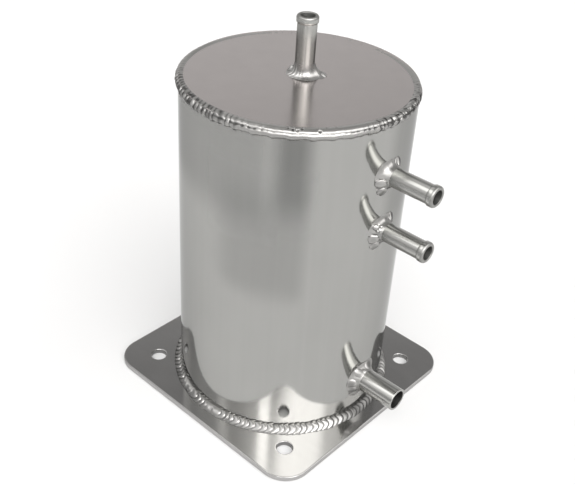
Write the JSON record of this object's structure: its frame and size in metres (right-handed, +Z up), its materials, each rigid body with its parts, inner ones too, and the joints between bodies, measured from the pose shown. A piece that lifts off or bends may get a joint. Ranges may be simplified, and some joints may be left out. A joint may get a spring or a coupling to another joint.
{
  "type": "fuel surge tank",
  "caption": "Upright welded aluminium fuel surge tank on a square bolt-down foot, with hose tails on its lid and side and a plain outlet tube near the bottom.",
  "frame": {"origin": "centre of the square foot's underside, which is also the centre of its four bolt holes", "axes": "+Z up along the tank's axis; +X the way the side tails and the outlet point; +Y to the left of +X, parallel to an edge of the foot"},
  "size_m": [0.1535, 0.137, 0.209],
  "materials": {
    "shell_aluminium": "polished, with faint vertical streaks",
    "lid_aluminium": "polished",
    "foot_aluminium": "polished",
    "tail_aluminium": "turned and polished",
    "weld_bead": "bright as-laid weld ripples"
  },
  "bodies": {
    "root": {"base_plate": "foot_aluminium", "tank_shell": "shell_aluminium", "lid": "lid_aluminium", "top_tail": "tail_aluminium", "upper_tail": "tail_aluminium", "middle_tail": "tail_aluminium", "outlet_tube": "tail_aluminium", "base_weld": "weld_bead", "lid_weld": "weld_bead", "top_tail_weld": "weld_bead", "upper_tail_weld": "weld_bead", "middle_tail_weld": "weld_bead", "outlet_weld": "weld_bead"}
  },
  "joints": []
}
